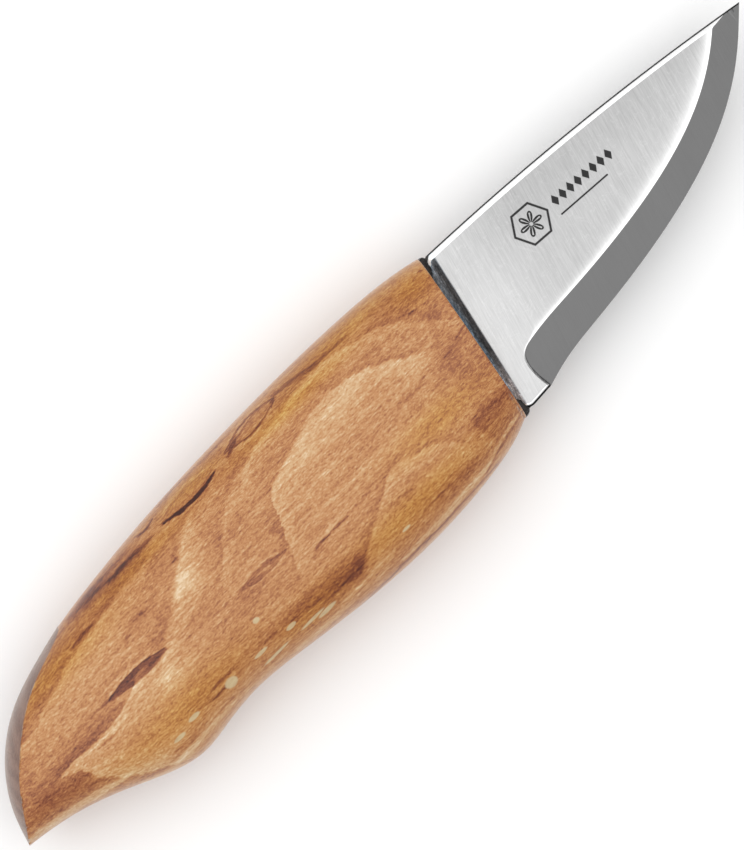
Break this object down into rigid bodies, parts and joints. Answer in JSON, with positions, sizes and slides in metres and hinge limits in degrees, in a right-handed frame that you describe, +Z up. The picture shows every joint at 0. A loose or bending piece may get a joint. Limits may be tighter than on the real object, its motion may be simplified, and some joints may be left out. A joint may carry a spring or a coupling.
{
  "type": "chip carving knife",
  "caption": "Short fixed-blade wood carving knife: straight-backed blade with a wide single bevel each side, stick tang glued into a curly birch handle with a beak-shaped butt.",
  "frame": {"origin": "on the resting plane, under the middle of the bounding box, with the knife lying on its side", "axes": "+X from the handle's butt to the blade's tip, +Y from the cutting edge's side to the spine's side, +Z up and square to the blade's middle plane"},
  "size_m": [0.165, 0.0341, 0.0229],
  "materials": {
    "blade_steel": "satin flats with fine grinding lines square to the edge, darker fine-ground bevels, bright chamfer along the spine",
    "curly_birch": "oiled and buffed figured birch with dark flecks, wavy growth lines and pale streaks",
    "dark_epoxy": "cured black epoxy, semi-gloss where it is squeezed out"
  },
  "bodies": {
    "root": {"blade": "blade_steel", "handle": "curly_birch", "adhesive": "dark_epoxy"}
  },
  "joints": []
}
